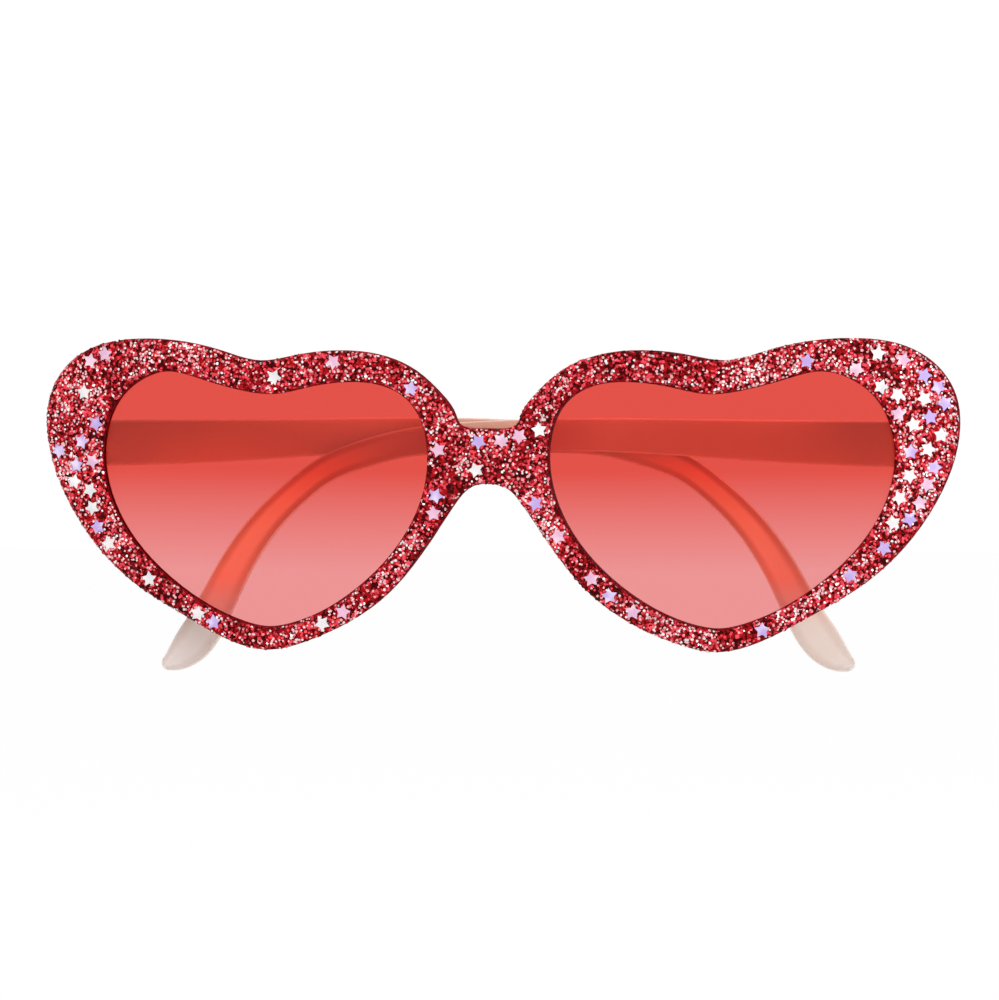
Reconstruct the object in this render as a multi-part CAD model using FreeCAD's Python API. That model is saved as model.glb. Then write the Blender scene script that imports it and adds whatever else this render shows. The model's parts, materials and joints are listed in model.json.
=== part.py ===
import FreeCAD, Part
import math
import os
from FreeCAD import Matrix, Vector

os.makedirs("parts", exist_ok=True)

# All lengths are in millimetres. The origin is at the top of the nose arch, half way
# through the bridge. +X is to the viewer's right, +Y goes back and +Z is up.

# Front, with its faces on upright cylinders round the wearer's head
front_width = 151.0
front_height = 50.7
front_thickness = 3.6
wrap_radius = 220.0
back_edge_bevel = 0.7

# Right half of the outline, from the middle of the bridge's top edge round to the nose
# arch: shares of half the front width and of the front height, from the origin
bridge_top_share = 0.176
half_outline_shares = [
    (0.045, 0.178), (0.064, 0.191), (0.073, 0.221), (0.104, 0.288), (0.163, 0.365),
    (0.248, 0.415), (0.340, 0.425), (0.424, 0.411), (0.508, 0.392), (0.595, 0.423),
    (0.780, 0.460), (0.877, 0.438), (0.949, 0.374), (0.993, 0.268), (1.000, 0.165),
    (0.949, -0.074), (0.797, -0.331), (0.675, -0.438), (0.577, -0.511), (0.489, -0.540),
    (0.403, -0.512), (0.221, -0.354), (0.135, -0.199), (0.077, -0.071), (0.043, -0.016),
]

# Eye opening: the rim's width beside, above and below it, the half bridge between the
# eyes, and the outline as shares of the opening's size
rim_outer_width = 10.2
rim_top_width = 5.3
rim_bottom_width = 3.7
bridge_half_width = 9.9
eye_outline_shares = [
    (-0.026, 0.414), (0.093, 0.436), (0.195, 0.473), (0.290, 0.500), (0.380, 0.466),
    (0.443, 0.399), (0.500, 0.175), (0.451, -0.076), (0.285, -0.324), (0.066, -0.481),
    (-0.009, -0.500), (-0.081, -0.485), (-0.281, -0.346), (-0.453, -0.080),
    (-0.500, 0.171), (-0.439, 0.396), (-0.359, 0.451), (-0.251, 0.462), (-0.136, 0.440),
]

# Lens and the groove that holds it
lens_thickness = 1.4
lens_lip = 1.0
lens_setback = 0.6
groove_clearance = 0.08

# Resin layer with the glitter, on the front face
layer_thickness = 0.5
layer_edge_bevel = 0.3
layer_inset = 0.1
layer_eye_gap = 0.25

# Nose pads, moulded on the back of the inner rims
pad_half_length = 6.6
pad_half_width = 2.1
pad_depth = 4.6
pad_inset = 2.4
pad_middle_z = -8.8
pad_lean_deg = 55.0
pad_edge_bevel = 1.1

# Hinge: a block with two lugs at each end of the front, and a tongue on each arm
lug_inset = 0.3
hinge_height_z = 5.6
block_inner_gap = 1.0
block_outer_inset = 3.0
block_height = 10.4
block_stand = 0.8
block_round = 0.5
knuckle_radius = 1.9
swing_gap = 0.3
tongue_height = 2.6
lug_height = 2.4
lug_gap = 0.15
open_stop_gap = 0.45

# Hinge screw
screw_radius = 0.7
screw_clearance = 0.05
screw_head_radius = 1.35
screw_head_height = 0.7
screw_slot_width = 0.35
screw_slot_depth = 0.35
screw_end_inset = 0.2

# Arms. Stations along the middle line: share of the reach behind the hinge, share of the
# drop, and share of the height at the hinge. The tip's bulge is a share of its half height
arm_reach = 125.2
arm_drop = 36.6
arm_height = 7.6
arm_thickness = 2.6
arm_edge_bevel = 0.7
arm_stack_gap = 0.6
tip_bulge_share = 0.7
arm_station_shares = [
    (0.000, 0.000, 1.000), (0.241, -0.019, 0.868), (0.458, -0.041, 0.711),
    (0.595, -0.027, 0.684), (0.675, -0.005, 0.618), (0.737, 0.049, 0.605),
    (0.780, 0.107, 0.585), (0.819, 0.202, 0.592), (0.863, 0.347, 0.645),
    (0.910, 0.579, 0.737), (0.945, 0.806, 0.829), (0.967, 0.913, 0.816),
    (0.988, 0.978, 0.553), (1.000, 1.000, 0.316),
]

# Star sequins: places as shares of half the front width and of the front height
star_radius = 1.35
star_inner_share = 0.55
star_thickness = 0.15
star_points = 5
star_turn_share = 0.382
white_star_shares = [
    (-0.908, 0.285), (-0.933, -0.006), (-0.896, -0.032), (-0.891, -0.090),
    (-0.852, -0.205), (-0.758, -0.318), (-0.646, -0.427), (-0.469, 0.340),
    (-0.364, -0.452), (-0.024, 0.045), (0.113, 0.173), (0.831, 0.411), (0.837, 0.305),
    (0.872, 0.279), (0.928, 0.266), (0.905, 0.183), (0.963, 0.148), (0.936, 0.103),
    (0.897, 0.019), (0.876, -0.051), (0.862, -0.131),
]
pink_star_shares = [
    (-0.858, 0.410), (-0.893, 0.388), (-0.890, 0.062), (-0.336, 0.390), (-0.106, 0.109),
    (-0.117, -0.095), (-0.318, -0.414), (0.030, 0.140), (0.070, 0.154), (0.153, -0.167),
    (0.224, -0.303), (0.312, -0.409), (0.884, 0.390), (0.786, 0.363), (0.934, -0.010),
    (0.918, -0.070), (0.874, 0.218),
]
lilac_star_shares = [
    (-0.928, 0.048), (-0.915, 0.125), (-0.881, 0.184), (-0.969, 0.093), (-0.878, -0.152),
    (-0.610, -0.454), (-0.165, 0.305), (-0.112, -0.038), (-0.018, 0.135),
    (0.104, -0.062), (0.262, -0.358), (0.682, 0.389), (0.928, 0.340), (0.957, 0.302),
    (0.972, 0.250), (0.940, 0.206), (0.899, 0.096), (0.949, 0.045), (0.897, -0.119),
    (0.843, -0.212), (0.772, -0.298), (0.586, -0.470),
]

# How far cutting and shaping tools run past what they shape
overrun = 2.0
# How closely a point must lie on a face to count as on it
on_face = 0.01
# Stretches between a curve's points that make one edge
knots_per_edge = 5
# A bevel's two edges: how far each stands in from the side and from the face, as shares of
# the bevel's width, the second one carried on past the face
bevel_shares = [(0.0, 1.0), (1.146, -0.146)]

# Sizes that follow from those above
half_width = front_width / 2
wrap_centre_y = wrap_radius - front_thickness / 2
back_radius = wrap_radius - front_thickness
layer_radius = wrap_radius + layer_thickness
lens_front_radius = wrap_radius - lens_setback
lens_back_radius = lens_front_radius - lens_thickness
outline_top_z = max(z for _, z in half_outline_shares) * front_height
outline_bottom_z = min(z for _, z in half_outline_shares) * front_height
eye_outer_x = half_width - rim_outer_width
eye_width = eye_outer_x - bridge_half_width
eye_middle_x = (eye_outer_x + bridge_half_width) / 2
eye_top_z = outline_top_z - rim_top_width
eye_bottom_z = outline_bottom_z + rim_bottom_width
eye_height = eye_top_z - eye_bottom_z
eye_middle_z = (eye_top_z + eye_bottom_z) / 2
pad_middle_x = bridge_half_width + pad_inset
block_inner_x = eye_outer_x + block_inner_gap
block_outer_x = half_width - block_outer_inset
hinge_x = block_inner_x + lug_inset + knuckle_radius
hinge_span = hinge_x + hinge_x
arm_offset = knuckle_radius + swing_gap
arm_stack_lean = math.degrees(math.atan((arm_thickness + arm_stack_gap) / hinge_span))
right_fold_deg = 90 + arm_stack_lean
left_fold_deg = 90 - arm_stack_lean
lug_reach = tongue_height / 2 + lug_gap + lug_height

origin = Vector(0, 0, 0)
across = Vector(1, 0, 0)
back = Vector(0, 1, 0)
up = Vector(0, 0, 1)


def wrap_y(x, radius):
    """Where a face on the cylinder of this radius stands at x."""
    return wrap_centre_y - math.sqrt(radius * radius - x * x)


block_back_y = wrap_y(block_outer_x, back_radius) + block_stand
hinge_y = block_back_y + knuckle_radius + swing_gap
foremost_y = wrap_y(0, layer_radius) - overrun
deepest_y = hinge_y + arm_offset


def mirrored(shape):
    """The same shape on the other side of the middle."""
    return shape.mirror(origin, across)


def closed_curve(points):
    curve = Part.BSplineCurve()
    curve.interpolate(Points=points, PeriodicFlag=True)
    return curve


def moved_outward(curve, distance):
    """A closed curve that runs clockwise, seen from ahead, moved outward all round."""
    points = []
    for knot in curve.getKnots()[:-1]:
        point, along = curve.getD1(knot)
        outward = along.cross(back)
        points.append(point + outward.normalize() * distance)
    return closed_curve(points)


def outline_curve():
    right = [Vector(x * half_width, 0, z * front_height) for x, z in half_outline_shares]
    left = [Vector(-point.x, 0, point.z) for point in reversed(right)]
    top = Vector(0, 0, bridge_top_share * front_height)
    return closed_curve([top] + right + [origin] + left)


def eye_curve():
    points = []
    for x, z in eye_outline_shares:
        points.append(Vector(eye_middle_x + x * eye_width, 0, eye_middle_z + z * eye_height))
    return closed_curve(points)


def ring(curve):
    """The curve as a row of edges."""
    knots = curve.getKnots()
    ends = knots[:-1:knots_per_edge] + knots[-1:]
    return [Part.Edge(curve, low, high) for low, high in zip(ends, ends[1:])]


def flat_ring(curve, y):
    """The curve moved back by y."""
    moved = curve.copy()
    moved.translate(Vector(0, y, 0))
    return ring(moved)


def wrapped_ring(curve, radius):
    """The curve laid on the cylinder of this radius."""
    points = [curve.value(knot) for knot in curve.getKnots()[:-1]]
    wrapped = [Vector(point.x, wrap_y(point.x, radius), point.z) for point in points]
    return ring(closed_curve(wrapped))


def skinned(rings):
    """The solid between the first and the last ring, with straight bands between rings."""
    faces = [Part.Face(Part.Wire(rings[0])), Part.Face(Part.Wire(rings[-1]))]
    for near, far in zip(rings, rings[1:]):
        faces += [Part.makeRuledSurface(first, second) for first, second in zip(near, far)]
    skin = Part.makeShell(faces)
    skin.sewShape()
    solid = Part.makeSolid(skin)
    if solid.Volume < 0:
        solid.reverse()
    return solid


def prism(curve):
    """The curve's outline run from ahead of the front to behind its ends."""
    return skinned([flat_ring(curve, foremost_y), flat_ring(curve, deepest_y)])


def back_bevelled(curve, bevel):
    """A prism whose side turns in, or out for a bevel below zero, at the back face."""
    rings = [flat_ring(curve, foremost_y)]
    for side, depth in bevel_shares:
        turned = moved_outward(curve, -side * bevel)
        rings.append(wrapped_ring(turned, back_radius + depth * abs(bevel)))
    return skinned(rings + [flat_ring(turned, deepest_y)])


def front_bevelled(curve, bevel):
    """A prism whose side turns in, or out for a bevel below zero, at the layer's face."""
    rings = [flat_ring(curve, deepest_y)]
    for side, depth in bevel_shares:
        turned = moved_outward(curve, -side * bevel)
        rings.append(wrapped_ring(turned, layer_radius - depth * abs(bevel)))
    return skinned(rings + [flat_ring(turned, foremost_y)])


def drum(radius):
    """A solid cylinder round the upright axis of the front's curve."""
    base = Vector(0, wrap_centre_y, -front_height)
    return Part.makeCylinder(radius, front_height + front_height, base, up)


def shell(inner_radius, outer_radius):
    return drum(outer_radius).cut(drum(inner_radius))


def both_eyes(tool):
    return tool.fuse(mirrored(tool))


def lens_groove():
    curve = moved_outward(eye_curve(), lens_lip + groove_clearance)
    inner = lens_back_radius - groove_clearance
    outer = lens_front_radius + groove_clearance
    return prism(curve).common(shell(inner, outer))


def nose_pad():
    """A fin with a bevelled back edge, longest along the inner rim, on the right rim's back."""
    disc_radius = (pad_half_length ** 2 + pad_depth ** 2) / (pad_depth + pad_depth)
    base = Vector(0, 0, -pad_half_width)
    disc = Part.makeCylinder(disc_radius, pad_half_width + pad_half_width, base, up)
    pad = disc.makeChamfer(pad_edge_bevel, [edge for edge in disc.Edges if edge.isClosed()])
    pad.rotate(origin, back, pad_lean_deg)
    base_y = wrap_y(pad_middle_x, back_radius)
    pad.translate(Vector(pad_middle_x, base_y + pad_depth - disc_radius, pad_middle_z))
    return pad.common(drum(wrap_radius - front_thickness / 2))


def upright(radius, low, high):
    """A cylinder round the right hinge's axis, between two heights from its middle."""
    base = Vector(hinge_x, hinge_y, hinge_height_z + low)
    return Part.makeCylinder(radius, high - low, base, up)


def hinge_block():
    """The block behind the right end of the front, with its two lugs."""
    depth = block_back_y + wrap_radius
    corner = Vector(block_inner_x, block_back_y - depth, hinge_height_z - block_height / 2)
    block = Part.makeBox(block_outer_x - block_inner_x, depth, block_height, corner)
    rounded = [edge for edge in block.Edges if edge.BoundBox.YMin > block_back_y - on_face]
    block = block.makeFillet(block_round, rounded)
    shape = block.common(drum(wrap_radius - front_thickness / 2))
    low = tongue_height / 2 + lug_gap
    for start in (low, -lug_reach):
        lug = upright(knuckle_radius, start, start + lug_height)
        foot = Vector(hinge_x - knuckle_radius, block_back_y - block_stand, hinge_height_z + start)
        depth = hinge_y - foot.y
        web = Part.makeBox(knuckle_radius + knuckle_radius, depth, lug_height, foot)
        shape = shape.fuse([lug, web])
    bore = upright(screw_radius + screw_clearance, -lug_reach - overrun, lug_reach + overrun)
    return shape.cut(bore)


def front_frame():
    """The wrapped front with pads and hinge blocks, then the eye openings and grooves."""
    outline = back_bevelled(outline_curve(), back_edge_bevel)
    shape = outline.common(shell(back_radius, wrap_radius))
    extras = []
    for piece in (nose_pad(), hinge_block()):
        extras += [piece, mirrored(piece)]
    shape = shape.fuse(extras)
    shape = shape.cut(both_eyes(back_bevelled(eye_curve(), -back_edge_bevel)))
    return shape.cut(both_eyes(lens_groove())).removeSplitter()


def glitter_layer():
    outer = front_bevelled(moved_outward(outline_curve(), -layer_inset), layer_edge_bevel)
    shape = outer.common(shell(wrap_radius, layer_radius))
    eye = front_bevelled(moved_outward(eye_curve(), layer_eye_gap), -layer_edge_bevel)
    return shape.cut(both_eyes(eye))


def lens():
    """The right lens."""
    return prism(moved_outward(eye_curve(), lens_lip)).common(
        shell(lens_back_radius, lens_front_radius)
    )


def hinge_screw():
    """The right screw, its slotted head on top of the upper lug."""
    shank = upright(screw_radius, screw_end_inset - lug_reach, lug_reach)
    head_top = lug_reach + screw_head_height
    head = upright(screw_head_radius, lug_reach, head_top)
    corner = Vector(
        hinge_x - screw_head_radius - overrun,
        hinge_y - screw_slot_width / 2,
        hinge_height_z + head_top - screw_slot_depth,
    )
    slot_length = screw_head_radius + screw_head_radius + overrun + overrun
    slot = Part.makeBox(slot_length, screw_slot_width, screw_slot_depth + overrun, corner)
    return shank.fuse(head).cut(slot).removeSplitter()


def arm_ring(x, inset):
    """The side view of the arm without its tongue, drawn in by inset, as edges at x."""
    middles = []
    for along, drop, _ in arm_station_shares:
        middles.append(Vector(x, along * arm_reach, -drop * arm_drop))
    middle_line = Part.BSplineCurve()
    middle_line.interpolate(Points=middles)
    upper = []
    lower = []
    for middle, station in zip(middles, arm_station_shares):
        _, along = middle_line.getD1(middle_line.parameter(middle))
        along.normalize()
        above = along.cross(across).negative()
        reach = station[2] * arm_height / 2 - inset
        upper.append(middle + above * reach)
        lower.append(middle - above * reach)
    tip = Part.Arc(upper[-1], middle + along * reach * tip_bulge_share, lower[-1])
    butt = Vector(0, open_stop_gap - arm_offset, 0)
    top_edge = Part.BSplineCurve()
    top_edge.interpolate(Points=[upper[0] + butt] + upper)
    low_edge = Part.BSplineCurve()
    low_edge.interpolate(Points=lower[::-1] + [lower[0] + butt])
    end = Part.LineSegment(lower[0] + butt, upper[0] + butt)
    return ring(top_edge) + [tip.toShape()] + ring(low_edge) + [end.toShape()]


def arm_blade():
    """The arm without its tongue, open, with the hinge's axis through the origin."""
    outer_x = arm_offset + arm_thickness
    return skinned([
        arm_ring(arm_offset, arm_edge_bevel),
        arm_ring(arm_offset + arm_edge_bevel, 0),
        arm_ring(outer_x - arm_edge_bevel, 0),
        arm_ring(outer_x, arm_edge_bevel),
    ])


def arm_tongue():
    low = Vector(0, 0, -tongue_height / 2)
    knuckle = Part.makeCylinder(knuckle_radius, tongue_height, low, up)
    corner = Vector(0, -knuckle_radius, -tongue_height / 2)
    length = arm_offset + arm_thickness / 2
    web = Part.makeBox(length, knuckle_radius + knuckle_radius, tongue_height, corner)
    return knuckle.fuse(web)


def open_arm():
    bore_low = Vector(0, 0, -tongue_height)
    bore_radius = screw_radius + screw_clearance
    bore = Part.makeCylinder(bore_radius, tongue_height + tongue_height, bore_low, up)
    return arm_blade().fuse(arm_tongue()).cut(bore).removeSplitter()


def temple_right():
    arm = open_arm()
    arm.rotate(origin, up, right_fold_deg)
    arm.translate(Vector(hinge_x, hinge_y, hinge_height_z))
    return arm


def temple_left():
    arm = mirrored(open_arm())
    arm.rotate(origin, up, -left_fold_deg)
    arm.translate(Vector(-hinge_x, hinge_y, hinge_height_z))
    return arm


def star(x, z, number):
    """One sequin on the layer's face, each turned a little more than the one before."""
    corners = []
    for corner in range(star_points + star_points):
        angle = math.pi * (corner + star_turn_share * number) / star_points
        radius = star_radius * (star_inner_share if corner % 2 else 1)
        corners.append(Vector(radius * math.sin(angle), 0, radius * math.cos(angle)))
    face = Part.Face(Part.makePolygon(corners + corners[:1]))
    shape = face.extrude(back * -star_thickness)
    shape.rotate(origin, up, math.degrees(math.asin(x / layer_radius)))
    shape.translate(Vector(x, wrap_y(x, layer_radius), z))
    return shape


def stars(shares):
    made = []
    for number, (x, z) in enumerate(shares):
        made.append(star(x * half_width, z * front_height, number))
    return Part.makeCompound(made)


nodes = {
    "front_frame": front_frame(),
    "glitter_layer": glitter_layer(),
    "stars_white": stars(white_star_shares),
    "stars_pink": stars(pink_star_shares),
    "stars_lilac": stars(lilac_star_shares),
    "lens_right": lens(),
    "lens_left": mirrored(lens()),
    "temple_right": temple_right(),
    "temple_left": temple_left(),
    "hinge_screw_right": hinge_screw(),
    "hinge_screw_left": mirrored(hinge_screw()),
}

for name, shape in nodes.items():
    shape.exportStep("parts/" + name + ".step")
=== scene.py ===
"""Looks of the heart shaped sunglasses: finishes, loose glitter flakes, light and camera."""

import json
import math
import random

import bpy
from mathutils import Matrix, Quaternion, Vector, noise as clouds

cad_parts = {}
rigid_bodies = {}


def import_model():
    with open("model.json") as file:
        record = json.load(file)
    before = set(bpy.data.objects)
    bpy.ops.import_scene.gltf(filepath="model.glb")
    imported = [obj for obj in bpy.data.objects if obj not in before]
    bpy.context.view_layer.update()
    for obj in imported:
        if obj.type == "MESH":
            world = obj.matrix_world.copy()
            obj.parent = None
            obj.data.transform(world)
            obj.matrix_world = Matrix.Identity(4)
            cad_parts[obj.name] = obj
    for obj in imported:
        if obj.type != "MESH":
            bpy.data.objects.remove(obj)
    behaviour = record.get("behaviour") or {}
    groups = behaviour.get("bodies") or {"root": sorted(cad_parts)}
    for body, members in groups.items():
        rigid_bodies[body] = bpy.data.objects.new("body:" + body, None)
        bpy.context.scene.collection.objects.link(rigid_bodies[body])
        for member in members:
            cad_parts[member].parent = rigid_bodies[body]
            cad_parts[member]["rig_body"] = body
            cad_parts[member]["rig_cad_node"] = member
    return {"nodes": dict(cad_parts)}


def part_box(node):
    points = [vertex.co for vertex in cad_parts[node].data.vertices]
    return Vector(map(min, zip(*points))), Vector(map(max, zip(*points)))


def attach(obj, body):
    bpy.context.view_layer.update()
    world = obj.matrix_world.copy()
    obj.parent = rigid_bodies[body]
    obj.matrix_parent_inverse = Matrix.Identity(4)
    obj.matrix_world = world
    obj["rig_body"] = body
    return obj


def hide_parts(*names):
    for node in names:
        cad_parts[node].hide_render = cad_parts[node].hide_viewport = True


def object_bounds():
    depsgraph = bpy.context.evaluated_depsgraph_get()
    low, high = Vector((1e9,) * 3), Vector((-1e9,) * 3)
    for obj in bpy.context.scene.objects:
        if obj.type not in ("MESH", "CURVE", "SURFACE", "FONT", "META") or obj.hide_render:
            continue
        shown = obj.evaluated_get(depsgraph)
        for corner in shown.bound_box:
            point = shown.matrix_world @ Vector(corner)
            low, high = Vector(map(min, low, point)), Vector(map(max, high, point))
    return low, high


bl_info = {
    "name": "Heart Sunglasses",
    "version": (1, 0, 0),
    "blender": (4, 5, 0),
    "location": "3D View > Sidebar > Sunglasses",
    "description": "Dresses the sunglasses in glitter, tinted lenses, milky arms and studio light",
    "category": "Object",
}

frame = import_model()
cad_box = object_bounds()

# Loose flakes, darkest kind first: share of all flakes, and shares of the full radius and lift.
# Light flakes are smaller and lie on top. The maroon kind is painted shade and the blush and silver
# kinds are painted glints
FLAKE_KINDS = (
    ("maroon", 0.33, 1.0, 0.4),
    ("crimson", 0.26, 1.0, 0.55),
    ("rose", 0.22, 0.85, 0.7),
    ("blush", 0.13, 0.75, 0.85),
    ("silver", 0.06, 0.7, 1.0),
)
FLAKE_CORNERS = 6
# Smallest and largest radius and lift within a kind
FLAKE_SIZES = (0.6, 1.0)
FLAKE_LIFTS = (0.8, 1.0)
# The face and its bevels carry flakes: their normals' Y is below this
STEEPEST_FLAKE = -0.38
# Large clumps of one tone, in sizes of the small ones
LARGE_CLUMP = 3

# Foil: size in metres of a patch of one tone, and the darkest tone beside the lightest
FOIL_PATCH = 1 / 900
FOIL_SHADE = 0.66
# Sequins: what their cool drift keeps of each channel, and how white their warm drift is
SEQUIN_COOL = (0.86, 0.95, 1.0)
SEQUIN_WARM = 0.4

# Where an arm's finish changes, as shares of the hinge's distance from the middle, minus beyond
# the bridge, and down the ear bend as shares of the tip's depth
# The root run is painted light: it lightens the arm towards the hinge, where the front's rim shades
# it
ARM_ROOT_LIGHT_RUN = (0.97, 0.7)
ARM_BEND_RUN = (-0.15, -0.5)
ARM_DROP_RUN = (0.15, 0.8)
# Part of the painted shadow and red bounce light behind the bridge that is in full colour
BRIDGE_SHADOW_CORE = 0.2
# Marks on an arm between which its painted edge shade and its painted rim highlight come in
ARM_EDGE_SHADE_FADE = (0.45, 1.0)
ARM_RIM_HIGHLIGHT_FADE = (0.45, 0.85)
# How much of both is left at the tip
TIP_TRACE = 0.3
# An arm's upper edge is told by its normal's Z, less this share of its X on the leaning ear bend
EDGE_LEAN = 0.6
# An arm's rim, which gets the painted highlight, is where its normal's Y is smaller than this,
# either way
RIM_LIMIT = 0.65

# Grain of the finishes, in cells to the metre
MILK_GRAIN = 180.0
ARM_GRAIN = 900.0
PEARL_GRAIN = 420.0
LENS_GRAIN = 300.0
STEEL_GRAIN = 900.0
FLOOR_GRAIN = 6.0
# How much finer the steel's grain is along each axis
STEEL_DRAWN = (1, 14, 1)
STEEL_DARK = (0.42, 0.42, 0.41)
STEEL_LIGHT = (0.66, 0.65, 0.63)

# Corners of a solid's triangles that are nearer than this, in metres, are one
SAME_CORNER = 1e-6
# Least cosine between a face's normal and the wrap's radius where the face is part of the wrap
WRAP_MATCH = 0.995

# Lamps: place and size in metres. Their power is a setting
LAMPS = (
    ("key", (-0.5, -0.8, 0.7), 0.5),
    ("fill", (0.8, -0.7, 0.25), 0.6),
    ("back", (0.1, 0.6, 0.6), 0.5),
)
# Sizes of the stage, in metres: the floor, and the nearest that the camera sees
FLOOR_SIZE = 4
NEAREST_SEEN = 0.01
FLOOR_DARK = (0.86, 0.86, 0.86)
FLOOR_LIGHT = (0.92, 0.92, 0.92)
# How nearly the eye sees the floor as white
FLOOR_WHITE = 0.98
# Rays that reach the eye straight, by a reflection or through the lenses
SEEN_RAYS = ("Camera", "Glossy", "Transmission")


def tint(red, green, blue):
    """A colour as it looks on a screen, from 0 to 255, in the linear values that nodes use."""
    channels = [value / 255 for value in (red, green, blue)]
    return tuple(
        channel / 12.92 if channel <= 0.04045 else ((channel + 0.055) / 1.055) ** 2.4
        for channel in channels
    )


def colour(name, description, red, green, blue):
    """A setting for a colour, given as it looks on a screen."""
    return bpy.props.FloatVectorProperty(
        name=name, description=description, subtype="COLOR", size=3, min=0, max=1,
        default=tint(red, green, blue),
    )


def length(name, description, metres):
    """A setting for a length or place."""
    return bpy.props.FloatProperty(
        name=name, description=description, default=metres, subtype="DISTANCE",
        unit="LENGTH", precision=5,
    )


def angle(name, description, degrees):
    """A setting for an angle, given in degrees."""
    return bpy.props.FloatProperty(
        name=name, description=description, default=math.radians(degrees),
        subtype="ANGLE", unit="ROTATION",
    )


def share(name, description, value):
    """A setting from 0 to 1."""
    return bpy.props.FloatProperty(
        name=name, description=description, default=value, min=0, max=1, subtype="FACTOR",
    )


def power(name, description, watts):
    """A setting for a lamp's power."""
    return bpy.props.FloatProperty(
        name=name, description=description, default=watts, unit="POWER",
    )


class GlitterSettings(bpy.types.PropertyGroup):
    """Flakes and star sequins on the front."""

    # Painted shade: dark flakes that stand for flakes turned away from the light
    maroon: colour("Maroon", "Flakes that face away from the light", 74, 4, 6)
    crimson: colour("Crimson", "Deep red flakes", 166, 16, 22)
    rose: colour("Rose", "Bright red flakes", 246, 74, 88)
    # Painted glints: pale flakes that stand for flakes that catch the light
    blush: colour("Blush", "Pale flakes", 255, 186, 190)
    silver: colour("Silver", "Flakes that catch the light", 255, 250, 250)
    white_star: colour("White star", "Palest sequins", 224, 218, 218)
    pink_star: colour("Pink star", "Pink sequins", 222, 176, 200)
    lilac_star: colour("Lilac star", "Lilac sequins", 188, 162, 216)
    flake_radius: length("Flake radius", "Largest flake, from its middle to a corner", 0.00036)
    clump_size: length("Clump size", "Across a patch of lighter or darker flakes", 0.004)
    clumping: share("Clumping", "How strongly flakes of one tone keep together", 0.4)
    flake_lift: length("Flake lift", "How far the topmost flakes stand off the resin", 0.00012)
    flake_tilt: angle("Flake tilt", "Most that a flake leans", 18)
    flake_count: bpy.props.IntProperty(
        name="Flake count", description="Loose flakes on the front", default=18000, min=0,
    )
    seed: bpy.props.IntProperty(name="Seed", description="Scatter of the flakes", default=7)


class PlasticSettings(bpy.types.PropertyGroup):
    """Moulded pieces: front, lenses and arms."""

    front: colour("Front", "Plastic behind the glitter", 130, 24, 34)
    front_dark: colour("Front shade", "Deeper parts of the same plastic", 106, 17, 24)
    front_light: colour("Front glint", "Flakes that show through the same plastic", 164, 34, 46)
    lens_top: colour("Lens top", "Tint of the upper part of the lenses", 227, 75, 64)
    lens_low: colour("Lens bottom", "Tint at the lower point of the lenses", 238, 147, 147)
    lens_fade_top: length("Fade top", "Height where the tint begins to fade", 0.0018)
    lens_fade_low: length("Fade bottom", "Height where the tint is palest", -0.0145)
    lens_shade: colour("Lens shade", "Light that the lenses let through", 255, 240, 228)
    # Painted light: the arms are lighter by the hinge, against the shadow of the front's rim
    arm_root: colour("Arm root", "Arms by the hinge", 234, 226, 212)
    arm_outside: colour("Arm outside", "Ear bend, on the side away from the head", 230, 214, 202)
    arm_band: colour("Arm", "Straight part of the arms", 221, 210, 190)
    # Painted shadow and red bounce light behind the bridge, on the arms' inner side
    arm_middle: colour("Arm middle", "Blush inside the arms behind the bridge", 202, 152, 134)
    # Painted light on the inner side, which faces the lenses: a warm glow on the upper ear bend,
    # red-tinted light lower down
    arm_ear: colour("Ear bend", "Inside of the ear bend, upper part", 255, 212, 180)
    arm_low: colour("Ear blush", "Inside of the ear bend, lower part", 252, 180, 152)
    # Painted shade, multiplied onto the upper and lower edges of the ear bend
    arm_tip: colour("Tip", "End of the arms", 210, 202, 198)
    # Painted highlight on the arms' outermost edges
    arm_edge: colour("Ear edges", "Shade on the edges of the ear bend", 208, 184, 174)
    arm_rim: colour("Arm rim", "Outermost edges of the arms, which catch the light", 255, 240, 226)
    # Place and spread of the painted shadow behind the bridge
    bridge_shadow_x: length("Middle place", "Where the blush behind the bridge lies", -0.002)
    bridge_shadow_width: length("Middle width", "How far that blush fades to each side", 0.022)
    wrap_centre: length("Wrap centre", "How far behind the bridge the front curves round", 0.2182)
    round_angle: angle("Smooth below", "Edges flatter than this are shaded smooth", 50)


class StageSettings(bpy.types.PropertyGroup):
    """Light, floor and camera."""

    azimuth: angle("Azimuth", "Camera's turn to the viewer's right", 8)
    elevation: angle("Elevation", "Camera's height above level", 3)
    distance: length("Distance", "From the camera to the bridge", 1.1)
    view_width: length("View width", "Width of the picture at the bridge", 0.1624)
    bridge_right: length("Bridge right", "Bridge's place right of the picture's middle", -0.0017)
    bridge_up: length("Bridge up", "Bridge's place above the picture's middle", 0.0027)
    roll: angle("Roll", "Turn of the picture, its left side down", 0.27)
    floor_drop: length("Floor drop", "Floor's depth below the lowest point", 0.1)
    key_power: power("Key power", "Lamp above the viewer's left", 7)
    fill_power: power("Fill power", "Lamp on the viewer's right", 4)
    back_power: power("Back power", "Lamp behind and above", 4)
    ambient: share("Ambient", "Light from all round", 0.5)


class SunglassesSettings(bpy.types.PropertyGroup):
    """All that a user would change."""

    glitter: bpy.props.PointerProperty(type=GlitterSettings)
    plastic: bpy.props.PointerProperty(type=PlasticSettings)
    stage: bpy.props.PointerProperty(type=StageSettings)


def settings():
    return bpy.context.scene.heart_sunglasses


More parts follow.
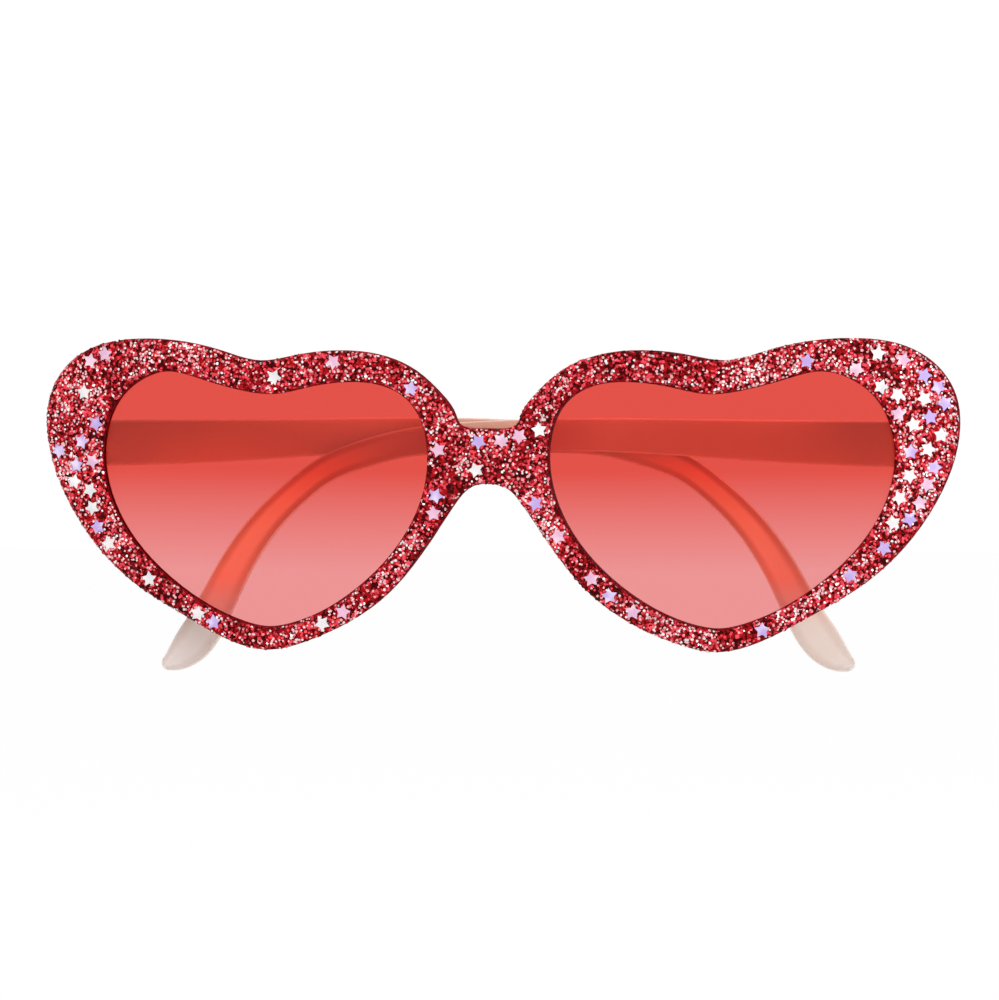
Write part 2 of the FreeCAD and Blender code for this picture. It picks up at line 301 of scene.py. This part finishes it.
def place(tree, kind, links=(), **values):
    """A new node: values set its own settings or, where it has none so named, its inputs.
    links are pairs of an input and the output that feeds it."""
    node = tree.nodes.new(kind)
    for name, value in values.items():
        if hasattr(node, name):
            setattr(node, name, value)
        else:
            node.inputs[name.replace("_", " ").title()].default_value = value
    for socket, source in links:
        tree.links.new(source, node.inputs[socket])
    return node


def new_material(name, **constants):
    """A new material with its shader's plain sockets set."""
    material = bpy.data.materials.new(name)
    material.use_nodes = True
    shader = material.node_tree.nodes["Principled BSDF"]
    for socket, value in constants.items():
        shader.inputs[socket.replace("_", " ")].default_value = value
    return material, material.node_tree, shader


def feed(shader, **sources):
    """Link these sources to the shader's sockets of the same names."""
    for socket, source in sources.items():
        shader.id_data.links.new(source, shader.inputs[socket.replace("_", " ")])


def show(tree, factor, first, second):
    """Make the material show two shaders, mixed by a factor."""
    mix = place(tree, "ShaderNodeMixShader", [
        (0, factor), (1, first.outputs[0]), (2, second.outputs[0]),
    ])
    tree.links.new(mix.outputs[0], tree.nodes["Material Output"].inputs["Surface"])


def ramp(tree, source, stops, interpolation="LINEAR"):
    """A colour ramp with these (place, colour) stops, fed by source."""
    node = place(tree, "ShaderNodeValToRGB", [("Fac", source)])
    node.color_ramp.interpolation = interpolation
    elements = node.color_ramp.elements
    while len(elements) < len(stops):
        elements.new(1)
    for element, (position, value) in zip(elements, stops):
        element.position = position
        element.color = (*value, 1)
    return node.outputs["Color"]


def coordinates(tree):
    return place(tree, "ShaderNodeTexCoord").outputs["Object"]


def noise(tree, vector, scale, detail=2.0):
    node = place(tree, "ShaderNodeTexNoise", [("Vector", vector)], Scale=scale, Detail=detail)
    return node.outputs["Fac"]


def spread(tree, source, low, high):
    """A value from 0 to 1 spread between low and high."""
    node = place(tree, "ShaderNodeMapRange", [("Value", source)])
    node.inputs["To Min"].default_value = low
    node.inputs["To Max"].default_value = high
    return node.outputs["Result"]


def stretch(tree, source, start, end, kind="SMOOTHSTEP"):
    """A value that goes from 0 at start to 1 at end, softly unless it is told otherwise."""
    node = place(tree, "ShaderNodeMapRange", [("Value", source)], interpolation_type=kind)
    node.inputs["From Min"].default_value = start
    node.inputs["From Max"].default_value = end
    return node.outputs["Result"]


def maths(tree, operation, *terms):
    """The result of one sum on sockets and plain numbers."""
    node = place(tree, "ShaderNodeMath", operation=operation)
    for socket, term in zip(node.inputs, terms):
        if isinstance(term, (int, float)):
            socket.default_value = term
        else:
            tree.links.new(term, socket)
    return node.outputs[0]


def chain(tree, operation, first, *others):
    """Any number of terms joined by one kind of sum."""
    for other in others:
        first = maths(tree, operation, first, other)
    return first


def blend(tree, factor, first, second, kind="MIX"):
    """Two colours mixed by a factor; each of them is a socket or a plain colour."""
    node = place(tree, "ShaderNodeMix", [(0, factor)], data_type="RGBA", blend_type=kind)
    # A Mix node has sockets of like names for other kinds of data, so colours go by number
    for socket, term in ((node.inputs[6], first), (node.inputs[7], second)):
        if isinstance(term, bpy.types.NodeSocket):
            tree.links.new(term, socket)
        else:
            socket.default_value = (*term, 1)
    return node.outputs[2]


def mark(tree, name):
    """A value that was marked on the mesh under this name."""
    return place(tree, "ShaderNodeAttribute", attribute_name=name).outputs["Fac"]


def rays(tree, *kinds):
    """1 for rays of these kinds, else 0."""
    path = tree.nodes.new("ShaderNodeLightPath")
    return chain(tree, "MAXIMUM", *(path.outputs[f"Is {kind} Ray"] for kind in kinds))


def flake_field():
    """A shader group of packed flakes, each with its own tone, gloss and lean."""
    found = bpy.data.node_groups.get("Flake field")
    if found:
        return found
    group = bpy.data.node_groups.new("Flake field", "ShaderNodeTree")
    for name, kind in (("Coordinates", "Vector"), ("Scale", "Float"), ("Lean", "Float")):
        group.interface.new_socket(name, in_out="INPUT", socket_type="NodeSocket" + kind)
    for name, kind in (("Tone", "Float"), ("Gloss", "Float"), ("Normal", "Vector")):
        group.interface.new_socket(name, in_out="OUTPUT", socket_type="NodeSocket" + kind)
    given = group.nodes.new("NodeGroupInput")
    cells = place(group, "ShaderNodeTexVoronoi", [
        ("Vector", given.outputs["Coordinates"]), ("Scale", given.outputs["Scale"]),
    ])
    parts = place(group, "ShaderNodeSeparateColor", [("Color", cells.outputs["Color"])])
    middle = place(
        group, "ShaderNodeVectorMath", [(0, cells.outputs["Color"])], operation="SUBTRACT",
    )
    middle.inputs[1].default_value = (0.5, 0.5, 0.5)
    lean = place(group, "ShaderNodeVectorMath", [
        (0, middle.outputs[0]), ("Scale", given.outputs["Lean"]),
    ], operation="SCALE")
    surface = group.nodes.new("ShaderNodeNewGeometry")
    leaning = place(group, "ShaderNodeVectorMath", [
        (0, surface.outputs["Normal"]), (1, lean.outputs[0]),
    ])
    unit = place(group, "ShaderNodeVectorMath", [(0, leaning.outputs[0])], operation="NORMALIZE")
    put_out = group.nodes.new("NodeGroupOutput")
    group.links.new(parts.outputs["Red"], put_out.inputs["Tone"])
    group.links.new(parts.outputs["Green"], put_out.inputs["Gloss"])
    group.links.new(unit.outputs[0], put_out.inputs["Normal"])
    return group


def flake_nodes(tree, size, lean):
    """The flake group placed in a material, for flakes of this size in metres."""
    node = place(tree, "ShaderNodeGroup", node_tree=flake_field())
    tree.links.new(coordinates(tree), node.inputs["Coordinates"])
    node.inputs["Scale"].default_value = 1 / size
    node.inputs["Lean"].default_value = lean
    return node.outputs


def flaked_plastic(name, size, lean, tones, gloss, **constants):
    """Plastic full of flakes of this size, in these tones and this range of roughness."""
    material, tree, shader = new_material(name, **constants)
    flakes = flake_nodes(tree, size, lean)
    feed(
        shader, Base_Color=ramp(tree, flakes["Tone"], tones, "CONSTANT"),
        Roughness=spread(tree, flakes["Gloss"], *gloss), Normal=flakes["Normal"],
    )
    return material


def resin_finish():
    """Clear resin, packed with flakes that lean every way."""
    look = settings().glitter
    return flaked_plastic(
        "glitter resin", size=look.flake_radius * 1.5, lean=0.8, gloss=(0.22, 0.5),
        # The maroon tone is painted shade and the blush tone painted glints, on flakes that also
        # lean and shine
        tones=[(0.0, look.maroon), (0.5, look.crimson), (0.8, look.rose), (0.95, look.blush)],
        Metallic=0.3, Specular_IOR_Level=0.1,
    )


def front_finish():
    """Dark plastic with flakes that show dimly through it."""
    look = settings().plastic
    return flaked_plastic(
        "front plastic", size=settings().glitter.flake_radius * 1.6, lean=0.12, gloss=(0.3, 0.45),
        tones=[(0.0, look.front_dark), (0.35, look.front), (0.85, look.front_light)],
        Metallic=0.35, Specular_IOR_Level=0.0, Specular_Tint=(*look.front_dark, 1),
    )


def flake_finish(name, value):
    """Foil whose tone and gloss shift from flake to flake."""
    material, tree, shader = new_material(name, Metallic=0.4, Specular_IOR_Level=0.05)
    patches = flake_nodes(tree, FOIL_PATCH, lean=0.0)
    darker = tuple(channel * FOIL_SHADE for channel in value)
    feed(
        shader, Base_Color=ramp(tree, patches["Tone"], [(0.0, darker), (1.0, tuple(value))]),
        Roughness=spread(tree, patches["Gloss"], 0.16, 0.4),
    )
    return material


def sequin_finish(name, value):
    """Pearly foil that drifts from its own colour towards cool and warm whites."""
    material, tree, shader = new_material(name, Metallic=0.15, Specular_IOR_Level=0.25)
    drift = noise(tree, coordinates(tree), PEARL_GRAIN, detail=1.0)
    cool = tuple(channel * kept for channel, kept in zip(value, SEQUIN_COOL))
    warm = tuple((1 - SEQUIN_WARM) * channel + SEQUIN_WARM for channel in value)
    feed(
        shader, Base_Color=ramp(tree, drift, [(0.32, cool), (0.5, tuple(value)), (0.7, warm)]),
        Roughness=spread(tree, drift, 0.14, 0.34),
    )
    return material


def lens_finish():
    """Clear plastic, deep coral above and fading to pink below, that lets lamps through."""
    look = settings().plastic
    material, tree, shader = new_material("lens tint", IOR=1.3, Transmission_Weight=1.0)
    where = coordinates(tree)
    height = place(tree, "ShaderNodeSeparateXYZ", [("Vector", where)]).outputs["Z"]
    fade = stretch(tree, height, look.lens_fade_low, look.lens_fade_top, "LINEAR")
    feed(
        shader, Base_Color=ramp(tree, fade, [(0.0, look.lens_low), (1.0, look.lens_top)]),
        Roughness=spread(tree, noise(tree, where, LENS_GRAIN), 0.0, 0.03),
    )
    clear = place(tree, "ShaderNodeBsdfTransparent", Color=(*look.lens_shade, 1))
    show(tree, rays(tree, "Shadow", "Diffuse"), shader, clear)
    return material


def arm_finish(name, hinge_x, tip_z):
    """Milky plastic, grey-white at the tip, with painted light: palest by the hinge, a warm glow
    and red-tinted light inside, a shadow behind the bridge, shaded ear edges and highlit rims.
    """
    look = settings().plastic
    material, tree, shader = new_material(
        name, Subsurface_Weight=0.5, Subsurface_Radius=(1.0, 0.7, 0.6), Subsurface_Scale=0.004,
        IOR=1.46, Specular_IOR_Level=0.3,
    )
    where = coordinates(tree)
    parts = place(tree, "ShaderNodeSeparateXYZ", [("Vector", where)]).outputs
    # Painted light: the root run lightens the arm towards the hinge, against the shadow of the
    # front's rim
    root = stretch(tree, parts["X"], *(hinge_x * part for part in ARM_ROOT_LIGHT_RUN))
    bend = stretch(tree, parts["X"], *(hinge_x * part for part in ARM_BEND_RUN))
    drop = stretch(tree, parts["Z"], *(tip_z * part for part in ARM_DROP_RUN))
    # The tone goes from 0 at the hinge to 1 at the tip, a third for each run
    milk = spread(tree, noise(tree, where, MILK_GRAIN, detail=3.0), -0.03, 0.03)
    tone = maths(tree, "DIVIDE", chain(tree, "ADD", milk, root, bend, drop), 3)
    # The inner side, which faces the lenses, carries painted light: a warm glow on the upper ear
    # bend and red-tinted light lower down
    inside = ramp(tree, tone, [
        (0.02, look.arm_root), (0.31, look.arm_band), (0.36, look.arm_band), (0.65, look.arm_ear),
        (0.86, look.arm_low), (1.0, look.arm_tip),
    ])
    outside = ramp(tree, tone, [
        (0.02, look.arm_root), (0.33, look.arm_band), (0.66, look.arm_outside), (1.0, look.arm_tip),
    ])
    # Painted shadow and red bounce light behind the bridge, on the inner side only
    aside = maths(tree, "ABSOLUTE", maths(tree, "SUBTRACT", parts["X"], look.bridge_shadow_x))
    middle = stretch(tree, aside, look.bridge_shadow_width, look.bridge_shadow_width * BRIDGE_SHADOW_CORE)
    inside = blend(tree, middle, inside, look.arm_middle)
    above = spread(tree, drop, 1.0, TIP_TRACE)
    # Painted shade on the upper and lower edges of the ear bend
    edge = stretch(tree, maths(tree, "ABSOLUTE", mark(tree, "across")), *ARM_EDGE_SHADE_FADE)
    # Painted highlight on the outermost edges, kept off the painted shadow behind the bridge
    rim = stretch(tree, mark(tree, "rim"), *ARM_RIM_HIGHLIGHT_FADE)
    # The inner side takes its ramp of painted light, the outer side its plain milky ramp
    run = blend(tree, mark(tree, "inside"), outside, inside)
    run = blend(tree, chain(tree, "MULTIPLY", edge, bend, above), run, look.arm_edge, "MULTIPLY")
    clear_of_bridge_shadow = maths(tree, "SUBTRACT", 1, middle)
    run = blend(tree, chain(tree, "MULTIPLY", rim, above, clear_of_bridge_shadow), run, look.arm_rim)
    gloss = spread(tree, noise(tree, where, ARM_GRAIN), 0.26, 0.42)
    feed(shader, Base_Color=run, Roughness=gloss)
    return material


def steel_finish():
    """Plain drawn steel."""
    material, tree, shader = new_material("screw steel", Metallic=1.0)
    drawn = place(tree, "ShaderNodeMapping", [("Vector", coordinates(tree))], Scale=STEEL_DRAWN)
    grain = noise(tree, drawn.outputs["Vector"], STEEL_GRAIN, detail=4.0)
    feed(
        shader, Base_Color=ramp(tree, grain, [(0.3, STEEL_DARK), (0.7, STEEL_LIGHT)]),
        Roughness=spread(tree, grain, 0.25, 0.45),
    )
    return material


def only(obj):
    """Select this object alone and make it the active one."""
    bpy.ops.object.select_all(action="DESELECT")
    obj.select_set(True)
    bpy.context.view_layer.objects.active = obj


def paint(obj, material):
    """Give the object this material and no other."""
    obj.data.materials.clear()
    obj.data.materials.append(material)


def true_normals(piece):
    """Shade the faces that curve round the wearer's head as the true cylinders they stand for."""
    mesh = piece.data
    axis = Vector((0, settings().plastic.wrap_centre, 0))
    normals = [corner.vector.copy() for corner in mesh.corner_normals]
    for face in mesh.polygons:
        for corner in face.loop_indices:
            outward = axis - mesh.vertices[mesh.loops[corner].vertex_index].co
            outward.z = 0
            outward.normalize()
            if abs(outward.dot(face.normal)) > WRAP_MATCH:
                normals[corner] = outward * math.copysign(1, outward.dot(face.normal))
    mesh.normals_split_custom_set(normals)


def smooth_copy(node, name, body, material):
    """A copy of a solid with its corners joined and its rounded edges shaded smooth."""
    only(frame["nodes"][node])
    bpy.ops.object.duplicate()
    piece = bpy.context.view_layer.objects.active
    piece.name = piece.data.name = name
    # The copy is a piece of its own, so it drops what makes the solid a node
    piece.parent = None
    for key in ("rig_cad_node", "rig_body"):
        del piece[key]
    bpy.ops.object.mode_set(mode="EDIT")
    bpy.ops.mesh.select_all(action="SELECT")
    bpy.ops.mesh.remove_doubles(threshold=SAME_CORNER)
    bpy.ops.object.mode_set(mode="OBJECT")
    bpy.ops.object.shade_smooth_by_angle(angle=settings().plastic.round_angle)
    if body == "front":
        true_normals(piece)
    else:
        bpy.ops.object.modifier_add(type="WEIGHTED_NORMAL")
        bpy.ops.object.modifier_apply(modifier=piece.modifiers[0].name)
    paint(piece, material)
    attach(piece, body)
    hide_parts(node)
    return piece


class SUNGLASSES_OT_front(bpy.types.Operator):
    """Finish the front and its glitter layer"""

    bl_idname = "sunglasses.front"
    bl_label = "Front"

    def execute(self, context):
        smooth_copy("front_frame", "front_shell", "front", front_finish())
        smooth_copy("glitter_layer", "resin_face", "front", resin_finish())
        return {"FINISHED"}


def face_triangles(piece):
    """The triangles of the resin's face and bevels, and the running total of their areas."""
    piece.data.calc_loop_triangles()
    triangles, totals, total = [], [], 0.0
    for triangle in piece.data.loop_triangles:
        if triangle.normal.y < STEEPEST_FLAKE:
            total += triangle.area
            triangles.append(triangle)
            totals.append(total)
    return triangles, totals


def scatter(piece, count, chance):
    """Random (place, normal) pairs, spread evenly over the resin's face and bevels."""
    triangles, totals = face_triangles(piece)
    vertices = piece.data.vertices
    for triangle in chance.choices(triangles, cum_weights=totals, k=count):
        first, second, third = (vertices[index].co for index in triangle.vertices)
        one, two = sorted((chance.random(), chance.random()))
        yield first * one + second * (two - one) + third * (1 - two), triangle.normal


def flake_piece(name, places, size_share, lift_share, chance, material):
    """One mesh of flakes that lie on the resin's face, each leaning a little."""
    look = settings().glitter
    bpy.ops.object.select_all(action="DESELECT")
    bpy.ops.mesh.primitive_circle_add(vertices=FLAKE_CORNERS, radius=1, fill_type="NGON")
    model = bpy.context.view_layer.objects.active
    corners = [vertex.co.copy() for vertex in model.data.vertices]
    vertices, faces = [], []
    for point, normal in places:
        turn = normal.to_track_quat("Z", "Y").to_matrix()
        lean = Matrix.Rotation(look.flake_tilt * chance.uniform(-1, 1), 3, "X")
        spin = Matrix.Rotation(chance.uniform(0, math.tau), 3, "Z")
        size = look.flake_radius * size_share * chance.uniform(*FLAKE_SIZES)
        middle = point + normal * look.flake_lift * lift_share * chance.uniform(*FLAKE_LIFTS)
        start = len(vertices)
        vertices += [middle + turn @ spin @ lean @ (corner * size) for corner in corners]
        faces.append(range(start, start + len(corners)))
    mesh = bpy.data.meshes.new(name)
    mesh.from_pydata(vertices, [], faces)
    model.data = mesh
    model.name = name
    paint(model, material)
    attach(model, "front")


class SUNGLASSES_OT_flakes(bpy.types.Operator):
    """Strew loose flakes over the glitter layer"""

    bl_idname = "sunglasses.flakes"
    bl_label = "Flakes"

    def execute(self, context):
        look = settings().glitter
        chance = random.Random(look.seed)
        places = list(scatter(bpy.data.objects["resin_face"], look.flake_count, chance))
        places.sort(key=lambda spot: self.tone(spot[0], look, chance))
        start = 0
        for kind, part, size_share, lift_share in FLAKE_KINDS:
            name = "flakes_" + kind
            end = start + round(look.flake_count * part)
            material = flake_finish(name, getattr(look, kind))
            flake_piece(name, places[start:end], size_share, lift_share, chance, material)
            start = end
        return {"FINISHED"}

    def tone(self, point, look, chance):
        """Low for a dark flake and high for a light one, alike for near neighbours."""
        small = clouds.noise(point / look.clump_size)
        large = clouds.noise(point / (look.clump_size * LARGE_CLUMP))
        return look.clumping * (small + large) + (1 - look.clumping) * chance.gauss(0, 1)


class SUNGLASSES_OT_stars(bpy.types.Operator):
    """Finish the star sequins"""

    bl_idname = "sunglasses.stars"
    bl_label = "Stars"

    def execute(self, context):
        look = settings().glitter
        for name, value in (
            ("white", look.white_star), ("pink", look.pink_star), ("lilac", look.lilac_star),
        ):
            paint(frame["nodes"]["stars_" + name], sequin_finish(name + " sequin", value))
        return {"FINISHED"}


class SUNGLASSES_OT_lenses(bpy.types.Operator):
    """Finish the lenses"""

    bl_idname = "sunglasses.lenses"
    bl_label = "Lenses"

    def execute(self, context):
        material = lens_finish()
        for side in ("left", "right"):
            smooth_copy("lens_" + side, "tinted_lens_" + side, "front", material)
        return {"FINISHED"}


def mark_arm(arm, side):
    """Mark an arm for its finish: its upper edge 1 and its lower edge -1 for the painted edge
    shade, its side towards the head 1 for the painted light inside, and its outermost edges 1 for
    the painted rim highlight. The arm is folded, so its inner side faces the front."""
    mesh = arm.data
    for name in ("across", "inside", "rim"):
        mesh.attributes.new(name, "FLOAT", "POINT")
    for index, vertex in enumerate(mesh.vertices):
        normal = vertex.normal
        edge = math.copysign(1, normal.z - side * EDGE_LEAN * normal.x)
        mesh.attributes["across"].data[index].value = edge
        mesh.attributes["inside"].data[index].value = normal.y < 0
        mesh.attributes["rim"].data[index].value = abs(normal.y) < RIM_LIMIT


class SUNGLASSES_OT_arms(bpy.types.Operator):
    """Finish the folding arms and their hinge screws"""

    bl_idname = "sunglasses.arms"
    bl_label = "Arms"

    def execute(self, context):
        steel = steel_finish()
        for side in ("left", "right"):
            low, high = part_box("hinge_screw_" + side)
            hinge_x = (low.x + high.x) / 2
            tip_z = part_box("temple_" + side)[0].z
            material = arm_finish("arm plastic " + side, hinge_x, tip_z)
            arm = smooth_copy(
                "temple_" + side, "arm_" + side, side + "_arm", material,
            )
            mark_arm(arm, math.copysign(1, hinge_x))
            paint(frame["nodes"]["hinge_screw_" + side], steel)
        return {"FINISHED"}


def white_world(ambient):
    """A world that the eye sees as white, and that lights the part at this level."""
    world = bpy.data.worlds.new("studio")
    bpy.context.scene.world = world
    world.use_nodes = True
    tree = world.node_tree
    background = tree.nodes["Background"]
    background.inputs["Color"].default_value = (1, 1, 1, 1)
    feed(background, Strength=spread(tree, rays(tree, *SEEN_RAYS), ambient, 1.0))


def floor_finish():
    """Pale floor that the eye sees nearly white, with a trace of the shadow."""
    material, tree, shader = new_material("pale floor", Roughness=0.9)
    grain = noise(tree, coordinates(tree), FLOOR_GRAIN)
    feed(shader, Base_Color=ramp(tree, grain, [(0.0, FLOOR_DARK), (1.0, FLOOR_LIGHT)]))
    white = place(tree, "ShaderNodeEmission")
    show(tree, spread(tree, rays(tree, *SEEN_RAYS), 0.0, FLOOR_WHITE), shader, white)
    return material


def lamp(name, spot, size, watts):
    """A square soft lamp that faces the bridge."""
    bpy.ops.object.light_add(type="AREA", location=spot)
    light = bpy.context.view_layer.objects.active
    light.name = name
    light.rotation_euler = (-Vector(spot)).to_track_quat("-Z", "Y").to_euler()
    light.data.size = size
    light.data.energy = watts


class SUNGLASSES_OT_stage(bpy.types.Operator):
    """Set the floor, the soft lamps and the camera"""

    bl_idname = "sunglasses.stage"
    bl_label = "Stage"

    def execute(self, context):
        look = settings().stage
        bpy.ops.object.select_all(action="DESELECT")
        low = cad_box[0].z - look.floor_drop
        bpy.ops.mesh.primitive_plane_add(size=FLOOR_SIZE, location=(0, 0, low))
        floor = bpy.context.view_layer.objects.active
        floor.name = "floor"
        bpy.ops.object.transform_apply(location=True, rotation=True, scale=True)
        paint(floor, floor_finish())
        white_world(look.ambient)
        for name, spot, size in LAMPS:
            lamp(name, spot, size, getattr(look, name + "_power"))
        self.set_camera(context, look)
        context.scene.view_settings.view_transform = "Standard"
        return {"FINISHED"}

    def set_camera(self, context, look):
        """Aim the camera so that the bridge stands at its place in the picture."""
        bpy.ops.object.camera_add()
        camera = bpy.context.view_layer.objects.active
        level = math.cos(look.elevation)
        toward = Vector((
            math.sin(look.azimuth) * level, -math.cos(look.azimuth) * level,
            math.sin(look.elevation),
        ))
        turn = toward.to_track_quat("Z", "Y") @ Quaternion((0, 0, 1), -look.roll)
        aside = turn @ Vector((-look.bridge_right, -look.bridge_up, 0))
        camera.rotation_euler = turn.to_euler()
        camera.location = toward * look.distance + aside
        camera.data.lens = camera.data.sensor_width * look.distance / look.view_width
        camera.data.clip_start = NEAREST_SEEN
        context.scene.camera = camera


class SUNGLASSES_PT_panel(bpy.types.Panel):
    """The pieces' settings and the steps that make them"""

    bl_label = "Heart sunglasses"
    bl_idname = "SUNGLASSES_PT_panel"
    bl_space_type = "VIEW_3D"
    bl_region_type = "UI"
    bl_category = "Sunglasses"

    def draw(self, context):
        for step in STEPS:
            self.layout.operator(step.bl_idname)
        for group in (settings().glitter, settings().plastic, settings().stage):
            box = self.layout.box()
            for name in group.__annotations__:
                box.prop(group, name)


STEPS = (
    SUNGLASSES_OT_front, SUNGLASSES_OT_flakes, SUNGLASSES_OT_stars, SUNGLASSES_OT_lenses,
    SUNGLASSES_OT_arms, SUNGLASSES_OT_stage,
)
CLASSES = (
    GlitterSettings, PlasticSettings, StageSettings, SunglassesSettings, *STEPS,
    SUNGLASSES_PT_panel,
)


def register():
    for item in CLASSES:
        bpy.utils.register_class(item)
    bpy.types.Scene.heart_sunglasses = bpy.props.PointerProperty(type=SunglassesSettings)


def unregister():
    del bpy.types.Scene.heart_sunglasses
    for item in reversed(CLASSES):
        bpy.utils.unregister_class(item)


def main():
    register()
    bpy.ops.sunglasses.front()
    bpy.ops.sunglasses.flakes()
    bpy.ops.sunglasses.stars()
    bpy.ops.sunglasses.lenses()
    bpy.ops.sunglasses.arms()
    bpy.ops.sunglasses.stage()


if __name__ == "__main__":
    main()
